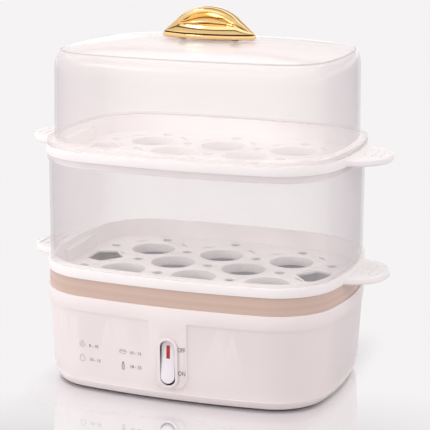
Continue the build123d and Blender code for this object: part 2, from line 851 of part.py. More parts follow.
def lid_bell(thickness, draft):
    """The lid's outer form, thickness further in: a wall that leans in by draft, a shoulder, a domed crown."""
    wall_inset = lid_foot_inset + lid_draft_inset + thickness
    sections = [(z_upper_rim, wall_inset - draft, 0)]
    for step in range(shoulder_steps + 1):
        turn = radians(shoulder_turn * step / shoulder_steps)
        fallen = 1 - cos(turn)
        height = z_crown - shoulder_drop - thickness + shoulder_height * sin(turn)
        sections.append((height, wall_inset + shoulder_end_reach * fallen, shoulder_side_extra * fallen))
    height, inset, side_extra = sections[-1]
    sections.append((height + shoulder_edge_rise, inset + shoulder_edge, side_extra))
    with BuildPart() as bell:
        for height, inset, side_extra in sections:
            with BuildSketch(Plane.XY.offset(height)):
                add(outline(inset, side_extra))
        loft(ruled=True)
        with BuildSketch(Plane.XY.offset(height)):
            add(outline(inset, side_extra))
        extrude(amount=crown_depth)
        for step in range(crown_strips):
            x = half_length * ((2 * step + 1) / crown_strips - 1)
            add(crown_arch(x, thickness), mode=Mode.INTERSECT)
    return bell.part


lid_screw_places = [(-lid_screw_pitch / 2, 0), (lid_screw_pitch / 2, 0)]
lid_outside = lid_bell(0, lid_draft_inset)
lid_inside = lid_bell(lid_wall, 0)

with BuildPart() as lid:
    add(lid_outside)
    with BuildSketch(Plane.XY.offset(z_upper_rim)):
        add(outline(flange_inset))
    extrude(amount=flange_height)
    # moulded boss that the handle stands on
    with BuildSketch(Plane.XY.offset(z_boss)):
        add(oval(boss_length, boss_width, boss_tip_radius))
    extrude(amount=-lid_pad_depth)
    add(lid_inside, mode=Mode.SUBTRACT)
    # the foot drops over the tray's locating lip
    with BuildSketch(Plane.XY.offset(z_upper_rim)):
        add(outline(tier_wall_inset))
    extrude(amount=lip_height + slip_gap, mode=Mode.SUBTRACT)
    # pads under the crown for the handle's screws
    with BuildSketch(Plane.XY.offset(z_crown - lid_pad_depth)):
        with Locations(*lid_screw_places):
            RegularPolygon(lid_pad_radius, small_sides)
    extrude(amount=lid_pad_depth - lid_wall / 2)
    with BuildSketch(Plane.XY.offset(z_boss)):
        with Locations(*lid_screw_places):
            RegularPolygon(lid_screw_radius + screw_gap, small_sides)
    extrude(amount=-2 * lid_pad_depth, mode=Mode.SUBTRACT)
save(lid, "lid")

# ---------------------------------------------------------------- lid handle and its screws

with BuildPart() as lid_handle_base:
    with BuildSketch(Plane.XY.offset(z_boss)):
        add(oval(handle_base_length, handle_base_width, handle_tip_radius))
        with Locations(*lid_screw_places):
            RegularPolygon(lid_screw_radius + screw_gap, small_sides, mode=Mode.SUBTRACT)
    extrude(amount=handle_base_height)
save(lid_handle_base, "lid_handle_base")


def arch_profile(shrink):
    """The handle seen from the front: steep ends, an arc over the top, smaller all round by shrink."""
    half = arch_length / 2
    with BuildSketch(mode=Mode.PRIVATE) as profile:
        with BuildLine():
            Polyline((-arch_shoulder_x, arch_shoulder_z), (-half, handle_seam), (half, handle_seam))
            Line((half, handle_seam), (arch_shoulder_x, arch_shoulder_z))
            ThreePointArc((arch_shoulder_x, arch_shoulder_z), (0, arch_height), (-arch_shoulder_x, arch_shoulder_z))
        make_face()
        if shrink:
            offset(amount=-shrink, mode=Mode.REPLACE)
    return profile.sketch


scoop_y = scoop_web / 2 + scoop_radius
handle_front = Plane((0, 0, z_arch), x_dir=(1, 0, 0), z_dir=(0, -1, 0))
handle_side = Plane((0, 0, z_arch), x_dir=(0, 1, 0), z_dir=(1, 0, 0))

# The two hollows under the ridge that the fingers reach into
with BuildPart() as finger_scoops:
    with BuildSketch(handle_front):
        add(arch_profile(ribbon_height))
    extrude(amount=arch_width, both=True)
    with BuildSketch(handle_side):
        with Locations((-scoop_y, scoop_height), (scoop_y, scoop_height)):
            Circle(scoop_radius)
    extrude(amount=arch_length, both=True, mode=Mode.INTERSECT)

with BuildPart() as lid_handle:
    with BuildSketch(handle_front):
        add(arch_profile(0))
    extrude(amount=arch_width / 2, both=True)
    with BuildSketch(Plane.XY.offset(z_arch)):
        add(oval(arch_length, arch_width, handle_tip_radius))
    extrude(amount=arch_height, mode=Mode.INTERSECT)
    add(finger_scoops.part, mode=Mode.SUBTRACT)
    # narrow neck that leaves a seam above the base
    with BuildSketch(Plane.XY.offset(z_arch)):
        add(oval(
            arch_length - 2 * handle_seam_inset,
            arch_width - 2 * handle_seam_inset,
            handle_tip_radius - handle_seam_inset,
        ))
    extrude(amount=handle_seam)
    with BuildSketch(Plane.XY.offset(z_arch)):
        with Locations(*lid_screw_places):
            RegularPolygon(lid_screw_radius + screw_gap, small_sides)
    extrude(amount=lid_screw_reach, mode=Mode.SUBTRACT)
save(lid_handle, "lid_handle")

with BuildPart() as lid_screws:
    with BuildSketch(Plane.XY.offset(z_crown - lid_pad_depth)):
        with Locations(*lid_screw_places):
            RegularPolygon(lid_screw_radius, small_sides)
    extrude(amount=z_arch + lid_screw_reach - (z_crown - lid_pad_depth))
    with BuildSketch(Plane.XY.offset(z_crown - lid_pad_depth)):
        with Locations(*lid_screw_places):
            RegularPolygon(lid_screw_head_radius, small_sides)
    extrude(amount=-lid_screw_head_height)
save(lid_screws, "lid_screws")
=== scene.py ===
# %% [markdown]
# # A two-tier egg boiler, dressed piece by piece
#
# The boiler is a stack: a heated base with a rocker switch, a beige trim band, an egg tray, a clear tier
# wall, a second tray and a clear domed lid with a gold handle. The solid model gives every piece its place
# and size. This lesson loads it, keeps its box for the size rule, and then makes the surfaces that show.

# %% The solid model
import json
from math import atan2, cos, pi, radians, sin, sqrt

import bmesh
import bpy
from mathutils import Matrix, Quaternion, Vector

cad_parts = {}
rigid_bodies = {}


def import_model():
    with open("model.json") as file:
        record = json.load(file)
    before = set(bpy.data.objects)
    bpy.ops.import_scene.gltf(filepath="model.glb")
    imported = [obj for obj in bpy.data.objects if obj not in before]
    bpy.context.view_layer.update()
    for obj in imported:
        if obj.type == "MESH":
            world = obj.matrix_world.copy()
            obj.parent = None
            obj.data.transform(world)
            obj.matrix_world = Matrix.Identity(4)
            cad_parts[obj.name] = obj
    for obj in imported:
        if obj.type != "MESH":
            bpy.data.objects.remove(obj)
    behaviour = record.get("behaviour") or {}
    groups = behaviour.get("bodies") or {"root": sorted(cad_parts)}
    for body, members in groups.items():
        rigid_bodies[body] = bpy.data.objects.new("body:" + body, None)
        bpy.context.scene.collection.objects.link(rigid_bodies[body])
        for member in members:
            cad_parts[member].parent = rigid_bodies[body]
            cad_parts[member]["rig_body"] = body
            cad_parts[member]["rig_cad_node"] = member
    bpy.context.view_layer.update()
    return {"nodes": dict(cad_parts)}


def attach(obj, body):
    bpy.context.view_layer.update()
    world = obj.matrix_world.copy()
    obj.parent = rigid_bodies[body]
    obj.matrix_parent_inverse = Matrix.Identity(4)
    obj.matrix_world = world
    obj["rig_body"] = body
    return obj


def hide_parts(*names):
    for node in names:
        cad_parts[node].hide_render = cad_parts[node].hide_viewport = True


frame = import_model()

MM = 0.001

# %% [markdown]
# ## One object at a time
#
# An operator works on everything that is selected, so each step first clears the selection and then selects
# only what it is about to change. These small helpers do that for whole objects, and print what came out.


# %% Helpers for objects
def only(piece):
    """Make one object the selected and active one."""
    bpy.ops.object.select_all(action="DESELECT")
    piece.select_set(True)
    bpy.context.view_layer.objects.active = piece


def apply_modifier(piece, kind, **settings):
    """Add a modifier, set it and apply it."""
    only(piece)
    modifier = piece.modifiers.new(kind.title(), kind)
    for name, value in settings.items():
        setattr(modifier, name, value)
    bpy.ops.object.modifier_apply(modifier=modifier.name)


def smooth(piece, angle=30):
    """Shade a piece smooth, with crisp edges where faces meet more steeply than angle."""
    only(piece)
    bpy.ops.object.shade_smooth_by_angle(angle=radians(angle))


def settle(piece):
    """Put an object's place, turn and size into its mesh."""
    only(piece)
    bpy.ops.object.transform_apply(location=True, rotation=True, scale=True)


def report(piece):
    """Print what a step made."""
    piece.data.calc_loop_triangles()
    print(f"{piece.name}: {len(piece.data.loop_triangles)} triangles")


# %% [markdown]
# ## The outline that every tier shares
#
# Seen from above, each tier is a rectangle with bowed sides: two long arcs, two end arcs and four corner
# arcs that touch them. One function gives that outline at any inset, always with the same number of
# points, so that rings at different heights can be joined face to face.

# %% Outline
LONG_RADIUS, LONG_CENTRE = 626.85, 532.85
END_RADIUS, END_CENTRE = 224.76, 97.76
CORNER_RADIUS = 52.7
LONG_STEPS, CORNER_STEPS, END_STEPS = 18, 22, 12


def corner_arc(inset, side_extra):
    """Centre of a corner arc and the two directions in which it meets its neighbours."""
    radius = CORNER_RADIUS - inset - side_extra / 2
    to_long = LONG_RADIUS - inset - side_extra - radius
    to_end = END_RADIUS - inset - radius
    apart = sqrt(LONG_CENTRE**2 + END_CENTRE**2)
    along = (to_long**2 - to_end**2 + apart**2) / (2 * apart)
    across = sqrt(to_long**2 - along**2)
    x = (-along * END_CENTRE + across * LONG_CENTRE) / apart
    y = -LONG_CENTRE + (along * LONG_CENTRE + across * END_CENTRE) / apart
    steep = atan2(y + LONG_CENTRE, x)
    flat = atan2(y, x + END_CENTRE)
    return x, y, radius, steep, flat


def outline(inset=0.0, side_extra=0.0):
    """Points of the tier outline in millimetres, anticlockwise from the middle of the right end."""
    x, y, radius, steep, flat = corner_arc(inset, side_extra)
    quarter = []
    for step in range(END_STEPS):
        turn = flat * step / END_STEPS
        reach = END_RADIUS - inset
        quarter.append((reach * cos(turn) - END_CENTRE, reach * sin(turn)))
    for step in range(CORNER_STEPS):
        turn = flat + (steep - flat) * step / CORNER_STEPS
        quarter.append((x + radius * cos(turn), y + radius * sin(turn)))
    for step in range(LONG_STEPS):
        turn = steep + (pi / 2 - steep) * step / LONG_STEPS
        reach = LONG_RADIUS - inset - side_extra
        quarter.append((reach * cos(turn), reach * sin(turn) - LONG_CENTRE))
    middle = (0.0, LONG_RADIUS - inset - side_extra - LONG_CENTRE)
    mirrored = [(-px, py) for px, py in quarter[:0:-1]]
    upper = quarter + [middle] + mirrored
    left = [(-quarter[0][0], 0.0)]
    lower = [(px, -py) for px, py in upper[:0:-1]]
    return upper + left + lower


print("outline points", len(outline()))

# %% [markdown]
# ## Sweeping a profile round the outline
#
# Most of the boiler is one profile carried round the outline. `skin` starts with a circle of edges, lays it
# on the first ring of points, and extrudes each further ring from the last one. `sweep` makes those rings
# from a profile, which is a list of (inset, height). An optional third number moves the long sides in
# further, and a fourth shrinks the whole ring. Corners of a profile are rounded before it is swept.


# %% Rounded profile
def rounded(profile, radii, steps=4):
    """The profile with the corners named in radii (index: radius) rounded."""
    points = []
    for index, here in enumerate(profile):
        radius = radii.get(index, 0)
        if not radius:
            points.append(here)
            continue
        before, after = profile[index - 1], profile[(index + 1) % len(profile)]
        arms = []
        for other in (before, after):
            length = sqrt(sum((a - b) ** 2 for a, b in zip(other, here)))
            reach = min(radius, length / 2) / length
            arms.append([b + (a - b) * reach for a, b in zip(other, here)])
        for step in range(steps + 1):
            t = step / steps
            points.append(tuple(
                (1 - t) ** 2 * a + 2 * t * (1 - t) * b + t**2 * c for a, b, c in zip(arms[0], here, arms[1])
            ))
    return points


# %% Skin and sweep
START_RADIUS = 0.1
TOLERANCE = 1e-6


def lay_ring(mesh, station, points):
    """Lay the selected ring of vertices on points, which are in millimetres."""
    for vertex in mesh.verts:
        if vertex.select:
            vertex.co = Vector(points[vertex[station]]) * MM


def skin(name, rings, closed=False):
    """A piece made by extruding a circle of edges from one ring of points to the next."""
    bpy.ops.object.select_all(action="DESELECT")
    bpy.ops.mesh.primitive_circle_add(vertices=len(rings[0]), radius=START_RADIUS)
    piece = bpy.context.object
    piece.name = piece.data.name = name
    bpy.ops.object.mode_set(mode="EDIT")
    mesh = bmesh.from_edit_mesh(piece.data)
    station = mesh.verts.layers.int.new("station")
    order = sorted(mesh.verts, key=lambda v: round(atan2(v.co.y, v.co.x), 5) % (2 * pi))
    for index, vertex in enumerate(order):
        vertex[station] = index
    lay_ring(mesh, station, rings[0])
    for points in rings[1:] + (rings[:1] if closed else []):
        bmesh.update_edit_mesh(piece.data)
        bpy.ops.mesh.extrude_edges_indiv()
        mesh = bmesh.from_edit_mesh(piece.data)
        lay_ring(mesh, mesh.verts.layers.int["station"], points)
    bmesh.update_edit_mesh(piece.data)
    bpy.ops.mesh.select_all(action="SELECT")
    bpy.ops.mesh.remove_doubles(threshold=TOLERANCE)
    bpy.ops.mesh.normals_make_consistent(inside=False)
    bpy.ops.object.mode_set(mode="OBJECT")
    return piece


def sweep(name, profile, closed=False):
    """A piece made by carrying a profile round the outline. A row may leave out its last two numbers."""
    rings = []
    for inset, height, *rest in profile:
        side_extra, scale = (list(rest) + [0.0, 1.0][len(rest):])[:2]
        rings.append([(scale * x, scale * y, height) for x, y in outline(inset, side_extra)])
    return skin(name, rings, closed)


# %% [markdown]
# ## Softened copies of the solids
#
# Where a solid already has the right shape, its copy only needs the small radii of a real moulding. The
# copy is merged, its flat areas are joined, and every sharp edge gets a narrow bevel.


# %% Softened copy
SOLID_TOLERANCE = 2e-6
FLAT_ANGLE = radians(0.4)


def softened(node, name, width, segments=2, angle=28, smooth_angle=35):
    """A merged copy of a CAD node with its sharp edges rounded by width millimetres."""
    source = frame["nodes"][node]
    piece = source.copy()
    piece.data = source.data.copy()
    piece.parent = None
    bpy.context.scene.collection.objects.link(piece)
    piece.name = piece.data.name = name
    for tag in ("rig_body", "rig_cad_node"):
        if tag in piece:
            del piece[tag]
    only(piece)
    if piece.data.has_custom_normals:
        bpy.ops.mesh.customdata_custom_splitnormals_clear()
    bpy.ops.object.mode_set(mode="EDIT")
    bpy.ops.mesh.select_all(action="SELECT")
    bpy.ops.mesh.remove_doubles(threshold=SOLID_TOLERANCE)
    bpy.ops.mesh.dissolve_limited(angle_limit=FLAT_ANGLE)
    bpy.ops.object.mode_set(mode="OBJECT")
    apply_modifier(
        piece, "BEVEL", width=width * MM, segments=segments, limit_method="ANGLE",
        angle_limit=radians(angle), use_clamp_overlap=True,
    )
    smooth(piece, smooth_angle)
    report(piece)
    return piece


# %% [markdown]
# ## Moulded plastic
#
# Injection-moulded plastic is never quite one colour: the melt flows leave faint clouds, and the mould
# leaves a very fine grain. Two noise patterns on object coordinates give that. A broad one shifts the
# colour and the gloss a little, and a fine one drives a shallow bump.


# %% Node helpers
NOISE_SPAN = (0.3, 0.7)


def add_node(tree, kind, **values):
    """A node with its input values set by name."""
    node = tree.nodes.new(kind)
    for name, value in values.items():
        node.inputs[name].default_value = value
    return node


def noise(tree, scale, stretch=(1, 1, 1), detail=2.0):
    """A noise pattern on object coordinates, stretched by axis."""
    place = tree.nodes.new("ShaderNodeTexCoord")
    mapping = add_node(tree, "ShaderNodeMapping", Scale=stretch)
    pattern = add_node(tree, "ShaderNodeTexNoise", Scale=scale, Detail=detail)
    tree.links.new(place.outputs["Object"], mapping.inputs["Vector"])
    tree.links.new(mapping.outputs["Vector"], pattern.inputs["Vector"])
    return pattern.outputs["Fac"]


def ramp(tree, value, low, high, span=NOISE_SPAN, interpolation="LINEAR"):
    """Map a value from its span to low and high. The span of a noise pattern is the default."""
    node = add_node(tree, "ShaderNodeMapRange", **{
        "From Min": span[0], "From Max": span[1], "To Min": low, "To Max": high,
    })
    node.interpolation_type = interpolation
    tree.links.new(value, node.inputs["Value"])
    return node.outputs["Result"]


def math_node(tree, operation, first, second=None):
    """A maths step on one or two values, each a socket or a number."""
    node = tree.nodes.new("ShaderNodeMath")
    node.operation = operation
    for slot, value in enumerate((first, second)):
        if isinstance(value, (int, float)):
            node.inputs[slot].default_value = value
        elif value is not None:
            tree.links.new(value, node.inputs[slot])
    return node.outputs[0]


def choose(tree, factor, first, second):
    """Mix two colours, each a socket or a tuple."""
    node = tree.nodes.new("ShaderNodeMix")
    node.data_type = "RGBA"
    tree.links.new(factor, node.inputs["Factor"])
    for name, value in (("A", first), ("B", second)):
        if isinstance(value, tuple):
            node.inputs[name].default_value = value
        else:
            tree.links.new(value, node.inputs[name])
    return node.outputs["Result"]


def linear(red, green, blue):
    """A colour given in sRGB screen values from 0 to 255, as the linear values that shaders use."""
    def one(value):
        value /= 255
        return value / 12.92 if value <= 0.04045 else ((value + 0.055) / 1.055) ** 2.4
    return (one(red), one(green), one(blue), 1.0)


# %% Plastic material
BUMP_STRENGTH = 0.1


def moulded(
    name, colour, second, roughness=(0.29, 0.33), cloud=14, stretch=(1, 1, 1),
    grain=220, grain_depth=0.000004, **sockets,
):
    """Principled plastic or metal with clouded colour, varied gloss and a fine grain."""
    material = bpy.data.materials.new(name)
    material.use_nodes = True
    tree = material.node_tree
    shader = tree.nodes["Principled BSDF"]
    for socket, value in sockets.items():
        shader.inputs[socket.replace("_", " ")].default_value = value
    clouds = noise(tree, cloud, stretch)
    tree.links.new(choose(tree, ramp(tree, clouds, 0, 1), colour, second), shader.inputs["Base Color"])
    tree.links.new(ramp(tree, clouds, *roughness), shader.inputs["Roughness"])
    bump = add_node(tree, "ShaderNodeBump", Strength=BUMP_STRENGTH, Distance=grain_depth)
    tree.links.new(noise(tree, grain, stretch), bump.inputs["Height"])
    tree.links.new(bump.outputs["Normal"], shader.inputs["Normal"])
    return material


# %% Dressing a piece
def dress(piece, material, body, slot, *replaced):
    """Give a piece its material and its body, and say which nodes it stands for. The slot is not used."""
    piece.data.materials.clear()
    piece.data.materials.append(material)
    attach(piece, body)
    if replaced:
        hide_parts(*replaced)


def tint_faces(piece, material, chosen):
    """Give the faces that chosen picks a second material."""
    piece.data.materials.append(material)
    for face in piece.data.polygons:
        if chosen(face):
            face.material_index = len(piece.data.materials) - 1


def dress_node(node, material):
    """Give a CAD node that stays a better material."""
    for material_slot in frame["nodes"][node].material_slots:
        material_slot.material = material


# %% Housing and tray plastic
housing_plastic = moulded("housing_plastic", linear(244, 235, 234), linear(242, 232, 231))
tray_plastic = moulded("tray_plastic", linear(250, 245, 244), linear(247, 241, 240))
print("materials", housing_plastic.name, tray_plastic.name)

# %% [markdown]
# ## Base housing
#
# The base is one moulding with a plain collar, panels that lie a little behind it, a tab that carries the
# switch, and a foot that rolls in. Its solid has these steps as sharp edges, and a mould never has those,
# so a softened copy takes its place.

# %% Base housing
housing = softened("base_housing", "egg_boiler_housing", 0.35)
dress(housing, housing_plastic, "base", "housing", "base_housing")

# %% [markdown]
# ## Trim band
#
# A beige ring sits between the housing and the lower tray. It is a separate moulding with a brushed look:
# fine lines run round it, so its noise is stretched along the outline's plane and squeezed in height.

# %% Trim band
BAND = [(1.0, 80.0), (1.0, 94.8), (4.0, 94.8), (4.0, 80.0)]
band = sweep("trim_ring", rounded(BAND, {0: 0.5, 1: 0.6}), closed=True)
smooth(band)
report(band)
band_plastic = moulded(
    "band_plastic", linear(214, 187, 173), linear(206, 178, 163), roughness=(0.28, 0.4), cloud=30,
    stretch=(0.12, 0.12, 14), grain=60, grain_depth=0.0001,
)
dress(band, band_plastic, "base", "band", "trim_band")

# %% [markdown]
# ## Egg trays
#
# Both tiers use the same tray: a rim with two tongue handles, a wall that drops into the tier below, and a
# floor with eight egg cups, round vents and narrow slots. The soft edges matter here, because they catch
# the light and make the holes readable through the clear walls.

# %% Egg trays
for node, name in (("lower_tray", "egg_tray_lower"), ("upper_tray", "egg_tray_upper")):
    tray = softened(node, name, 0.4, angle=35)
    dress(tray, tray_plastic, node, "tray", node)

# %% [markdown]
# ## Clear plastic
#
# The tier wall and the lid are lightly frosted: the trays show through, softened by a milky veil. Rough
# transmission would need many samples, so the veil is an alpha that rises at grazing angles, where a real
# wall is seen through more plastic. Where it stands upright its colour is also darkened to grey there, a
# painted shade for its darker ends. Milky plastic passes on most of the light that it scatters, so it
# hardly shades what is behind it. Under the handle the lid has a thicker boss, which hides the screws.


# %% Clear material
# Painted shade: the dark grey-violet that upright clear walls are pulled towards at grazing angles, for
# their darker ends.
GRAZING_SHADE_TINT = linear(150, 144, 158)
EDGE_BLEND = 0.3
LIGHT_PASSED = 0.75
BOSS_HALF_LENGTH, BOSS_HALF_WIDTH, BOSS_BASE = 43.0, 17.0, 270.0
BOSS_RIM = (0.75, 1.1)


def milky_boss(tree):
    """1 inside an oval at the middle of the lid's top, 0 elsewhere, with a soft rim."""
    place = tree.nodes.new("ShaderNodeTexCoord")
    parts = tree.nodes.new("ShaderNodeSeparateXYZ")
    tree.links.new(place.outputs["Object"], parts.inputs["Vector"])
    across = [
        math_node(tree, "POWER", math_node(tree, "DIVIDE", parts.outputs[axis], half * MM), 2.0)
        for axis, half in (("X", BOSS_HALF_LENGTH), ("Y", BOSS_HALF_WIDTH))
    ]
    soft = ramp(tree, math_node(tree, "ADD", *across), 1.0, 0.0, BOSS_RIM)
    above = math_node(tree, "GREATER_THAN", parts.outputs["Z"], BOSS_BASE * MM)
    return math_node(tree, "MULTIPLY", soft, above)


def frosted(name, colour, second, veil, edge_veil, boss=False):
    """Milky see-through plastic, more opaque at its edges and, where it stands upright, darker there with
    painted shade.
    """
    material = moulded(name, colour, second, roughness=(0.07, 0.12), cloud=9, grain_depth=0.000002, IOR=1.46)
    tree = material.node_tree
    shader = tree.nodes["Principled BSDF"]
    grazing = add_node(tree, "ShaderNodeLayerWeight", Blend=EDGE_BLEND).outputs["Facing"]
    spread = ramp(tree, grazing, veil, edge_veil, (0.0, 1.0))
    path = tree.nodes.new("ShaderNodeLightPath")
    unseen = math_node(tree, "MAXIMUM", path.outputs["Is Shadow Ray"], path.outputs["Is Diffuse Ray"])
    lit = math_node(tree, "SUBTRACT", 1.0, math_node(tree, "MULTIPLY", unseen, LIGHT_PASSED))
    cover = math_node(tree, "MULTIPLY", spread, lit)
    if boss:
        cover = math_node(tree, "MAXIMUM", cover, milky_boss(tree))
    tree.links.new(cover, shader.inputs["Alpha"])
    # Painted shade: on upright faces, the colour darkens towards the grey tint as the surface turns away
    # from view.
    surface = tree.nodes.new("ShaderNodeNewGeometry")
    level = tree.nodes.new("ShaderNodeSeparateXYZ")
    tree.links.new(surface.outputs["Normal"], level.inputs["Vector"])
    upright = math_node(tree, "SUBTRACT", 1.0, math_node(tree, "ABSOLUTE", level.outputs["Z"]))
    clouded = shader.inputs["Base Color"].links[0].from_socket
    shaded_colour = choose(tree, math_node(tree, "MULTIPLY", grazing, upright), clouded, GRAZING_SHADE_TINT)
    tree.links.new(shaded_colour, shader.inputs["Base Color"])
    return material


# %% Wall plastic, the groove's painted shade and lid plastic
wall_plastic = frosted("wall_plastic", linear(250, 240, 238), linear(247, 236, 235), 0.1, 0.6)
# Painted shade: a greyer, less clear plastic on the lid's groove stands in for the shade along it.
groove_shade_plastic = frosted("groove_shade_plastic", linear(196, 190, 196), linear(188, 182, 189), 0.5, 0.8)
lid_plastic = frosted("lid_plastic", linear(254, 244, 242), linear(252, 241, 239), 0.18, 0.6, boss=True)

# %% [markdown]
# ## Tier wall
#
# The tier wall is a plain ring of clear plastic with a thicker collar at its head, where the upper tray
# drops in. Its profile goes up outside, over the collar and down inside.

# %% Tier wall
WALL = [(2.0, 102.1), (2.0, 184.0), (0.7, 184.8), (0.7, 189.8), (4.0, 189.8), (4.0, 102.1)]
wall = sweep("tier_wall", rounded(WALL, {0: 0.6, 1: 0.4, 2: 0.4, 3: 0.6, 4: 0.4}, steps=3), closed=True)
smooth(wall)
report(wall)
dress(wall, wall_plastic, "lower_wall", "clear", "chamber_wall")

# %% [markdown]
# ## Lid
#
# The lid rises almost straight, turns through a tight shoulder and ends in a shallow dome. A thin groove in
# its outer wall, level all round, marks where shoulder and dome meet, and its faces carry a painted grey
# shade. The dome is flat in the middle and falls faster towards the groove, so its rings shrink towards the
# middle while they rise along a steep power curve.

# %% Rings of the lid
DOME_TOP, DOME_EDGE, DOME_POWER = 280.0, 272.2, 3.0
LID_WALL = 2.0
WALL_TOP, WALL_TOP_INSET = 256.0, 7.5
CREASE_INSET, CREASE_EXTRA, CREASE_HEIGHT = 11.5, 5.5, 271.8
CREASE_WIDTH, CREASE_DEPTH = 1.5, 0.9
GROOVE_HEIGHT = (CREASE_HEIGHT + DOME_EDGE) / 2
SHOULDER_TURN, SHOULDER_STEPS = radians(76), 12
SHARP_ANGLE = 32
DOME_SCALES = (1.0, 0.99, 0.97, 0.94, 0.9, 0.85, 0.79, 0.72, 0.64, 0.55, 0.45, 0.34, 0.22, 0.1, 0.0)


def shoulder_ring(share):
    """One ring over the shoulder: 0 is the top of the wall, 1 the crease."""
    turn = SHOULDER_TURN * share
    fallen = (1 - cos(turn)) / (1 - cos(SHOULDER_TURN))
    risen = sin(turn) / sin(SHOULDER_TURN)
    inset = WALL_TOP_INSET + (CREASE_INSET - WALL_TOP_INSET) * fallen
    return inset, WALL_TOP + (CREASE_HEIGHT - WALL_TOP) * risen, CREASE_EXTRA * fallen


def dome_ring(scale):
    """One ring of the dome, which is the crease's outline shrunk by scale."""
    height = DOME_EDGE + (DOME_TOP - DOME_EDGE) * (1 - scale**DOME_POWER)
    return CREASE_INSET + CREASE_WIDTH, height, CREASE_EXTRA, scale


# %% Lid
LID = [(0.3, 197.0), (0.3, 201.4), (6.6, 201.4)]
lid_rings = rounded(LID + [(WALL_TOP_INSET, WALL_TOP)], {1: 1.0, 2: 0.8})[:-1]
lid_rings += [shoulder_ring(step / SHOULDER_STEPS) for step in range(SHOULDER_STEPS + 1)]
lid_rings += [(CREASE_INSET + CREASE_WIDTH / 2, GROOVE_HEIGHT, CREASE_EXTRA)]
lid_rings += [dome_ring(scale) for scale in DOME_SCALES]
lid = sweep("clear_lid", lid_rings)
apply_modifier(lid, "SOLIDIFY", thickness=LID_WALL * MM, offset=-1, use_even_offset=True)
groove = {
    vertex.index for vertex in lid.data.vertices if abs(vertex.co.z - GROOVE_HEIGHT * MM) < TOLERANCE
}
for index in groove:
    lid.data.vertices[index].co.z -= CREASE_DEPTH * MM
smooth(lid, SHARP_ANGLE)
report(lid)
dress(lid, lid_plastic, "lid", "clear", "lid")
# The groove's faces take the painted grey shade.
tint_faces(lid, groove_shade_plastic, lambda face: groove.intersection(face.vertices))

# %% [markdown]
# ## Gold handle
#
# The handle is plated plastic: an arch on an oval foot, with a half-moon hollow on each side for the
# fingers. Seen from above the arch is a lens. It is built like a boat's hull, from sections across its
# length: each one goes up the bulging front, in and out of the hollow, over the ridge and down the back.
# A thin seam, an inset neck painted dark as its shade, parts it from its foot, a softened copy of the solid.

# %% Measures of the arch
ARCH_BASE, ARCH_HALF, ARCH_DEPTH, ARCH_HEIGHT = 284.0, 38.4, 11.3, 21.9
ARCH_SHOULDER, ARCH_SHOULDER_HEIGHT = 27.0, 10.5
SEAM, SEAM_INSET = 0.9, 2.0
HOLLOW_HALF, HOLLOW_FLOOR, HOLLOW_DEPTH = 23.0, 6.8, 5.2
RIDGE_SHARE, RIDGE_ROUND = 0.34, 0.12
APRON_BULGE, APRON_SHARE = 0.11, 0.5
TIP_POWER = 0.72
BODY_TAPER, BODY_TAPER_SQUARED = 0.1, 0.26
RIDGE_POWERS = (2.5, 0.4)
RIDGE_BAND, RIDGE_BAND_GROWTH = 4.4, 2
HOLLOW_PACE, RIDGE_PACE = 0.62, 0.7
FLATTEST = 0.01
SEAM_SHARE = 0.9
APRON_STEPS, HOLLOW_STEPS, RIDGE_STEPS, SECTIONS = 6, 14, 10, 56


# %% Sections of the arch
def ridge_height(x):
    """Height of the ridge above the foot: an arc over the middle and straight slopes to the tips."""
    rise = ARCH_HEIGHT - ARCH_SHOULDER_HEIGHT
    radius = (ARCH_SHOULDER**2 + rise**2) / (2 * rise)
    if abs(x) <= ARCH_SHOULDER:
        return ARCH_HEIGHT - radius + sqrt(radius**2 - x**2)
    run = (abs(x) - ARCH_SHOULDER) / (ARCH_HALF - ARCH_SHOULDER)
    return ARCH_SHOULDER_HEIGHT + (SEAM - ARCH_SHOULDER_HEIGHT) * run


def bulge(share):
    """Share of the section's half depth that is left at a share of its height."""
    body = 1 - BODY_TAPER * share - BODY_TAPER_SQUARED * share**2
    turned = max(0.0, (share - 1 + RIDGE_ROUND) / RIDGE_ROUND)
    inner, outer = RIDGE_POWERS
    return body * (1 - min(1.0, turned)**inner) ** outer


def arch_section(x):
    """One section across the arch, from the front of its underside over the ridge to the back."""
    top = ridge_height(x)
    tall = top - SEAM
    half = ARCH_DEPTH * (1 - (x / ARCH_HALF) ** 2) ** TIP_POWER
    low = SEAM + min(APRON_SHARE * tall, HOLLOW_FLOOR - SEAM)
    high = top - min(RIDGE_SHARE * tall, RIDGE_BAND + RIDGE_BAND_GROWTH * (x / HOLLOW_HALF) ** 2)
    deep = HOLLOW_DEPTH * sqrt(max(0.0, 1 - (x / HOLLOW_HALF) ** 2))
    neck = max(0.0, half - SEAM_INSET)
    front = [(neck, 0.0), (neck, SEAM)]
    bent = half * APRON_BULGE
    levels = []
    for step in range(APRON_STEPS):
        share = step / APRON_STEPS
        levels.append((SEAM + (low - SEAM) * share, bent * share**2))
    for step in range(HOLLOW_STEPS):
        share = step / HOLLOW_STEPS
        levels.append((low + (high - low) * share, bent + deep * sin(pi * share**HOLLOW_PACE)))
    for step in range(RIDGE_STEPS):
        share = step / RIDGE_STEPS
        levels.append((high + (top - high) * share**RIDGE_PACE, bent * (1 - share)))
    front += [(half * bulge((z - SEAM) / max(tall, FLATTEST)) - dent, z) for z, dent in levels]
    section = front + [(0.0, top)] + [(-y, z) for y, z in reversed(front)]
    return [(x, -y, ARCH_BASE + z) for y, z in section]


def arch_tip(x, like):
    """A section shrunk to a point, which closes the arch's end."""
    return [(x, 0.0, ARCH_BASE + SEAM / 2)] * len(like)


places = [ARCH_HALF * sin(pi * (step / SECTIONS - 0.5)) for step in range(1, SECTIONS)]
sections = [arch_section(x) for x in places]
sections = [arch_tip(-ARCH_HALF, sections[0])] + sections + [arch_tip(ARCH_HALF, sections[0])]
print("sections", len(sections), "points", len(sections[0]))

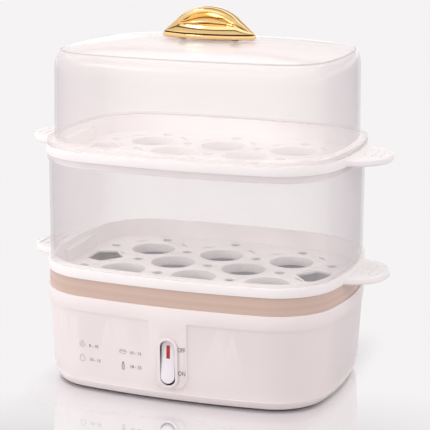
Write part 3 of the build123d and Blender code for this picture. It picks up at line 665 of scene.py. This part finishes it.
# %% Arch and foot
gold = moulded(
    "gold_plating", linear(244, 208, 150), linear(238, 198, 138), roughness=(0.07, 0.1), cloud=40,
    grain=500, grain_depth=0.000002, Metallic=1.0,
)
# Painted shade: a dark brown for the inset neck under the arch, where the seam's shade falls.
seam_shadow = moulded(
    "seam_shadow", linear(58, 40, 28), linear(46, 32, 24), roughness=(0.5, 0.6), grain=2000,
)
arch = skin("handle_arch", sections)
smooth(arch, SHARP_ANGLE)
report(arch)
dress(arch, gold, "lid", "gold", "lid_handle")
# The neck's faces below the seam height get the painted seam shade.
tint_faces(arch, seam_shadow, lambda face: face.center.z < (ARCH_BASE + SEAM * SEAM_SHARE) * MM)
foot = softened("lid_handle_base", "handle_foot", 1.4, segments=5, angle=30, smooth_angle=60)
dress(foot, gold, "lid", "gold", "lid_handle_base")

# %% [markdown]
# ## Switch
#
# The rocker sits in an oval frame. It is glossier and a little cooler in colour than the housing, and a
# clear red strip near its OFF end lights up. The frame's own wall keeps a thin dark gap round the rocker,
# which reads as the line that outlines it.

# %% Switch
rocker_plastic = moulded(
    "rocker_plastic", linear(243, 239, 242), linear(239, 234, 238), roughness=(0.12, 0.18),
    cloud=30, grain=1500,
)
lens_plastic = moulded(
    "lens_plastic", linear(214, 52, 26), linear(180, 28, 14), roughness=(0.08, 0.14), cloud=220,
    stretch=(1, 1, 0.4), grain=1500, Transmission_Weight=0.15,
)
bezel = softened("switch_bezel", "switch_frame", 0.5, segments=3)
dress(bezel, housing_plastic, "base", "bezel", "switch_bezel")
rocker = softened("rocker_button", "switch_rocker", 0.7, segments=3)
dress(rocker, rocker_plastic, "rocker", "rocker", "rocker_button")
lens = softened("indicator_lens", "rocker_lens", 0.25)
dress(lens, lens_plastic, "rocker", "lens", "indicator_lens")

# %% [markdown]
# ## Printed marks
#
# The panel carries four small pictures with cooking times, and ON and OFF stand beside the switch. Ink is
# a thin layer on the wall. Each mark is drawn flat, made a mesh, and then every point is laid on the bowed
# and drafted wall at its own place, less than a tenth of a millimetre proud.

# %% Where the wall is
FOOT_CURVE, FOOT_CURVE_RADIUS, PANEL_TOP, DRAFT = 14.0, 25.0, 66.0, 2.95
FOOT_LIFT, PANEL_DEPTH, TAB_HALF = 2.0, 0.8, 16.0
INK_PROUD = 0.05


def flush_inset(height):
    """Inset of the housing's surface at a height above its lower edge."""
    straight = DRAFT * (PANEL_TOP - height) / (PANEL_TOP - FOOT_CURVE)
    below = max(0.0, FOOT_CURVE - height)
    return max(0.0, straight) + FOOT_CURVE_RADIUS - sqrt(FOOT_CURVE_RADIUS**2 - below**2)


def wall_y(x, z):
    """The front wall's y at a place, on the tab or on the recessed panel."""
    inset = flush_inset(z - FOOT_LIFT) + (0 if abs(x) < TAB_HALF else PANEL_DEPTH)
    return LONG_CENTRE - sqrt((LONG_RADIUS - inset) ** 2 - x**2)


def lay_on_wall(piece, x, z):
    """Carry a flat mark, drawn in x and y with millimetres as its units, to its place on the front wall."""
    for vertex in piece.data.vertices:
        at_x, at_z = x + vertex.co.x, z + vertex.co.y
        at_y = wall_y(at_x, at_z) - INK_PROUD - max(0.0, vertex.co.z)
        vertex.co = (at_x * MM, at_y * MM, at_z * MM)


def as_mesh(piece):
    """Turn a text or curve object into a mesh."""
    only(piece)
    bpy.ops.object.convert(target="MESH")
    return bpy.context.object


print("wall", round(wall_y(0, 30), 2), round(wall_y(-60, 30), 2))

# %% Lettering and numbers
INK_DEPTH = 0.04
TEXT_STEPS = 3


def write(text, x, z, size, width=1.0):
    """Printed text with its lower left corner at x and z."""
    bpy.ops.object.select_all(action="DESELECT")
    bpy.ops.object.text_add()
    piece = bpy.context.object
    piece.data.body = text
    piece.data.size = size
    piece.data.extrude = INK_DEPTH
    piece.data.resolution_u = TEXT_STEPS
    piece = as_mesh(piece)
    piece.scale = (width, 1, 1)
    settle(piece)
    lay_on_wall(piece, x, z)
    return piece


marks = [
    write("OFF", 8.3, 44.5, 5.4, 0.68), write("ON", 8.3, 24.8, 5.4, 0.74),
    write("8 - 10", -69.8, 38.2, 3.6), write("10 - 15", -33.4, 37.4, 3.6),
    write("10 - 15", -69.8, 26.2, 3.6), write("18 - 25", -33.4, 25.6, 3.6),
]
print("texts", len(marks))

# %% Pictures
STROKE = 0.22


def draw(points, x, z, closed=True):
    """A thin printed line through points, centred on x and z."""
    curve = bpy.data.curves.new("stroke", "CURVE")
    curve.dimensions = "2D"
    line = curve.splines.new("POLY")
    line.points.add(len(points) - 1)
    for point, (px, py) in zip(line.points, points):
        point.co = (px, py, 0, 1)
    line.use_cyclic_u = closed
    curve.fill_mode = "NONE"
    curve.bevel_depth = STROKE / 2
    curve.bevel_resolution = 1
    piece = bpy.data.objects.new("stroke", curve)
    bpy.context.scene.collection.objects.link(piece)
    piece = as_mesh(piece)
    for vertex in piece.data.vertices:
        vertex.co.z = INK_DEPTH if vertex.co.z > 0 else -INK_DEPTH
    lay_on_wall(piece, x, z)
    return piece


def loop(width, height, top=1.0, steps=28, start=0.0, turn=2 * pi):
    """Points round an oval that narrows towards its top."""
    points = []
    for step in range(steps):
        angle = start + turn * step / (steps if turn == 2 * pi else steps - 1)
        narrow = 1 - (1 - top) * (sin(angle) + 1) / 2
        points.append((width / 2 * narrow * cos(angle), height / 2 * sin(angle)))
    return points


# %% The four pictures and the joined print
EGG, BOWL, BUN, CORN = (-75.9, 40.4), (-39.2, 39.0), (-76.3, 28.0), (-39.3, 26.8)
marks += [
    draw(loop(5.0, 5.4, start=pi, turn=pi, steps=16), *EGG, closed=False),
    draw(loop(2.6, 3.4, top=0.7), EGG[0], EGG[1] + 0.8),
    draw(loop(6.4, 4.0, start=pi, turn=pi, steps=16), *BOWL),
    draw(loop(4.6, 1.6), BOWL[0], BOWL[1] + 0.9),
    draw(loop(6.2, 5.6, top=0.45), *BUN),
    draw(loop(3.4, 7.2, top=0.35), *CORN),
    draw(loop(1.5, 6.0, top=0.5), *CORN),
]
bpy.ops.object.select_all(action="DESELECT")
for mark in marks:
    mark.select_set(True)
bpy.context.view_layer.objects.active = marks[0]
bpy.ops.object.join()
print_marks = bpy.context.object
print_marks.name = print_marks.data.name = "printed_marks"
report(print_marks)
ink = moulded(
    "grey_ink", linear(84, 84, 90), linear(98, 98, 104), roughness=(0.5, 0.6), cloud=300, grain=2000,
)
dress(print_marks, ink, "base", "housing")

# %% [markdown]
# ## Pieces that show through holes or underneath
#
# These solids keep their own shape and get a finish: satin steel for the water pan, which shows blue-grey
# through the holes of the tray, cast aluminium for the heater, brass for the contacts, and plain plastics
# and rubbers for the rest.

# %% Finishes for the solids that stay
satin_steel = moulded(
    "satin_steel", linear(206, 210, 220), linear(194, 198, 210), roughness=(0.3, 0.42), cloud=50,
    stretch=(0.2, 6, 1), grain=300, Metallic=0.4,
)
zinc_steel = moulded(
    "zinc_steel", linear(190, 192, 196), linear(172, 174, 178), roughness=(0.29, 0.4), Metallic=1.0,
)
cast_aluminium = moulded(
    "cast_aluminium", linear(176, 177, 180), linear(158, 159, 163), roughness=(0.45, 0.6), cloud=60,
    grain=700, grain_depth=0.0001, Metallic=0.9,
)
brass = moulded(
    "brass", linear(206, 170, 104), linear(188, 150, 86), roughness=(0.29, 0.4), Metallic=1.0,
)
black_plastic = moulded("black_plastic", linear(44, 44, 46), linear(36, 36, 38), roughness=(0.4, 0.55))
pale_rubber = moulded(
    "pale_rubber", linear(204, 198, 196), linear(194, 188, 186), roughness=(0.65, 0.8), grain_depth=0.0001,
)
silicone = moulded("silicone", linear(226, 222, 218), linear(216, 212, 208), roughness=(0.5, 0.6))
cover_plastic = moulded("cover_plastic", linear(232, 225, 222), linear(225, 218, 215), roughness=(0.4, 0.55))
nylon = moulded("nylon", linear(222, 218, 206), linear(212, 208, 196), roughness=(0.4, 0.5))
ceramic = moulded("ceramic", linear(214, 206, 180), linear(202, 194, 168), roughness=(0.5, 0.6))

# %% Finish of each solid
KEPT = {
    "water_pan": satin_steel, "pan_gasket": silicone, "pan_nuts": zinc_steel,
    "heating_element": cast_aluminium, "heater_clamp": zinc_steel, "clamp_nut": zinc_steel,
    "thermostat": black_plastic, "thermal_fuse": ceramic, "bottom_cover": cover_plastic,
    "cover_screws": zinc_steel, "rubber_feet": pale_rubber, "cord_gland": pale_rubber,
    "terminal_block": nylon, "block_screws": brass, "switch_body": black_plastic,
    "switch_terminals": brass, "lid_screws": zinc_steel,
}
for node, material in KEPT.items():
    dress_node(node, material)
print("solids kept", len(KEPT))

# %% [markdown]
# ## Floor, light and camera
#
# The boiler stands on a polished pale table. Near it the table shows its shadow and a faint mirror image.
# Further out the table fades into the plain backdrop, so no horizon shows, and further still the mirror
# image ends. Both depend on the place on the table. Only what is seen directly, mirrored or through clear
# plastic shows the backdrop's colour, and the light that the table throws back stays that of a real surface.

# %% Floor
BACKDROP = linear(245, 243, 244)
FLOOR_SIZE = 14
bpy.ops.object.select_all(action="DESELECT")
bpy.ops.mesh.primitive_plane_add(size=1, location=(0, 0, 0))
floor = bpy.context.object
floor.name = "studio_floor"
floor.scale = (FLOOR_SIZE, FLOOR_SIZE, 1)
settle(floor)
floor_finish = moulded(
    "floor_finish", linear(222, 217, 221), linear(220, 215, 219), roughness=(0.3, 0.34),
    cloud=3, grain=40, grain_depth=0.0,
)

# %% How the floor fades
FADE_FROM = (("X", 0.1, 3.0), ("Y", 0.065, 1.0))
FADE_SPAN, MIRROR_SPAN = (0.01, 0.1), (0.15, 0.6)
MIRROR_SHARE, MIRROR_ROUGHNESS = 0.5, 0.02


def seen_rays(tree):
    """1 for rays that the eye follows: direct, mirrored or through clear plastic."""
    path = tree.nodes.new("ShaderNodeLightPath")
    direct = math_node(tree, "MAXIMUM", path.outputs["Is Camera Ray"], path.outputs["Is Glossy Ray"])
    return math_node(tree, "MAXIMUM", direct, path.outputs["Is Transmission Ray"])


def mix_shaders(tree, factor, first, second):
    """Mix two shaders."""
    node = tree.nodes.new("ShaderNodeMixShader")
    tree.links.new(factor, node.inputs["Fac"])
    tree.links.new(first, node.inputs[1])
    tree.links.new(second, node.inputs[2])
    return node.outputs["Shader"]


tree = floor_finish.node_tree
place = tree.nodes.new("ShaderNodeTexCoord")
split = tree.nodes.new("ShaderNodeSeparateXYZ")
tree.links.new(place.outputs["Object"], split.inputs["Vector"])
beyond = []
for axis, half, pace in FADE_FROM:
    away = math_node(tree, "SUBTRACT", math_node(tree, "ABSOLUTE", split.outputs[axis]), half)
    reach = math_node(tree, "MULTIPLY", math_node(tree, "MAXIMUM", away, 0.0), pace)
    beyond.append(math_node(tree, "POWER", reach, 2.0))
distance = math_node(tree, "SQRT", math_node(tree, "ADD", *beyond))
fade = ramp(tree, distance, 0.0, 1.0, FADE_SPAN, "SMOOTHSTEP")
near = ramp(tree, distance, MIRROR_SHARE, 0.0, MIRROR_SPAN)
seen = seen_rays(tree)
glow = add_node(tree, "ShaderNodeEmission", Color=BACKDROP, Strength=1.0)
mirror = add_node(tree, "ShaderNodeBsdfGlossy", Color=(1.0, 1.0, 1.0, 1.0), Roughness=MIRROR_ROUGHNESS)
table = mix_shaders(
    tree, math_node(tree, "MULTIPLY", fade, seen),
    tree.nodes["Principled BSDF"].outputs["BSDF"], glow.outputs["Emission"],
)
table = mix_shaders(tree, math_node(tree, "MULTIPLY", seen, near), table, mirror.outputs["BSDF"])
tree.links.new(table, tree.nodes["Material Output"].inputs["Surface"])
floor.data.materials.append(floor_finish)
print("floor", floor.name)

# %% [markdown]
# ## The studio round it
#
# The world plays three parts. Seen straight it is the plain backdrop. As light it is a soft pale dome, a
# little darker near the horizon. In mirrors it is a studio: bright at the horizon and pale above it, then a
# white panel with a dark gap on each side. The gold needs those gaps, because a mirror in an even white room
# looks like dull paint. Three broad lamps fill the boiler without showing in its gloss, and two small ones,
# the window and the spot, do show there.

# %% World
WORLD_LIGHT = 0.72
PANEL, GAP, GLOW = (1.5, 1.5, 1.5, 1.0), linear(52, 42, 36), (1.7, 1.7, 1.7, 1.0)
world = bpy.data.worlds.new("studio")
bpy.context.scene.world = world
world.use_nodes = True
tree = world.node_tree
background = tree.nodes["Background"]
path = tree.nodes.new("ShaderNodeLightPath")
direction = tree.nodes.new("ShaderNodeTexCoord")
split = tree.nodes.new("ShaderNodeSeparateXYZ")
tree.links.new(direction.outputs["Generated"], split.inputs["Vector"])


def sky(tree, level, bands):
    """A colour that changes with the level of the direction, from (height, colour) pairs."""
    node = tree.nodes.new("ShaderNodeValToRGB")
    steps = node.color_ramp.elements
    while len(steps) < len(bands):
        steps.new(1.0)
    for step, (height, colour) in zip(steps, bands):
        step.position = height
        step.color = colour
    tree.links.new(level, node.inputs["Fac"])
    return node.outputs["Color"]


soft_dome = sky(tree, split.outputs["Z"], [(0.0, linear(224, 219, 218)), (0.45, linear(250, 248, 249))])
studio = sky(tree, split.outputs["Z"], [
    (0.0, GLOW), (0.03, GLOW), (0.09, BACKDROP), (0.34, BACKDROP), (0.42, GAP), (0.45, GAP), (0.52, PANEL),
    (0.78, PANEL), (0.83, GAP), (0.87, GAP), (0.93, linear(206, 198, 192)),
])
dim = tree.nodes.new("ShaderNodeVectorMath")
dim.operation = "SCALE"
dim.inputs["Scale"].default_value = WORLD_LIGHT
tree.links.new(soft_dome, dim.inputs[0])
straight = math_node(tree, "MAXIMUM", path.outputs["Is Camera Ray"], path.outputs["Is Transmission Ray"])
mirrored = choose(tree, path.outputs["Is Glossy Ray"], dim.outputs["Vector"], studio)
tree.links.new(choose(tree, straight, mirrored, BACKDROP), background.inputs["Color"])
background.inputs["Strength"].default_value = 1.0
print("world ready")


# %% Lamps
def lamp(name, kind, place, aim, energy, mirrored=False, **settings):
    """A lamp at a place, turned towards a point. Gloss shows it only where mirrored is true."""
    data = bpy.data.lights.new(name, kind)
    data.energy = energy
    for setting, value in settings.items():
        setattr(data, setting, value)
    piece = bpy.data.objects.new(name, data)
    bpy.context.scene.collection.objects.link(piece)
    piece.visible_glossy = mirrored
    piece.location = place
    piece.rotation_euler = (Vector(aim) - Vector(place)).to_track_quat("-Z", "Y").to_euler()
    return piece


MIDDLE = (0, 0, 0.15)
lamp("left_fill", "AREA", (-0.75, -0.6, 0.45), MIDDLE, 2.7, shape="RECTANGLE", size=0.6, size_y=0.6)
lamp("right_fill", "AREA", (1.0, -0.5, 1.0), MIDDLE, 4.4, shape="RECTANGLE", size=0.8, size_y=0.8)
lamp("top_box", "AREA", (-0.2, -0.1, 1.6), MIDDLE, 3.6, shape="RECTANGLE", size=1.0, size_y=1.0)
lamp("window", "AREA", (-0.84, -0.99, 1.31), MIDDLE, 4.0, True, shape="RECTANGLE", size=0.5, size_y=0.22)
lamp("small_spot", "AREA", (1.3, 0.13, 1.25), MIDDLE, 0.5, True, shape="DISK", size=0.1)

# %% Camera
CAMERA_PLACE, CAMERA_AIM = (0.4238, -1.1764, 0.4346), (0.0059, 0.0, 0.1341)
CAMERA_LENS, CAMERA_SENSOR, CAMERA_END = 130.16, 36, 50
CAMERA_ROLL = radians(0.35)
camera_data = bpy.data.cameras.new("camera")
camera_data.lens = CAMERA_LENS
camera_data.sensor_width = CAMERA_SENSOR
camera = bpy.data.objects.new("camera", camera_data)
bpy.context.scene.collection.objects.link(camera)
camera.location = CAMERA_PLACE
level_view = (Vector(CAMERA_AIM) - camera.location).to_track_quat("-Z", "Y")
camera.rotation_euler = (level_view @ Quaternion((0, 0, 1), CAMERA_ROLL)).to_euler()
camera_data.clip_end = CAMERA_END
bpy.context.scene.camera = camera
bpy.context.scene.view_settings.view_transform = "Standard"
print("camera", camera.location[:])
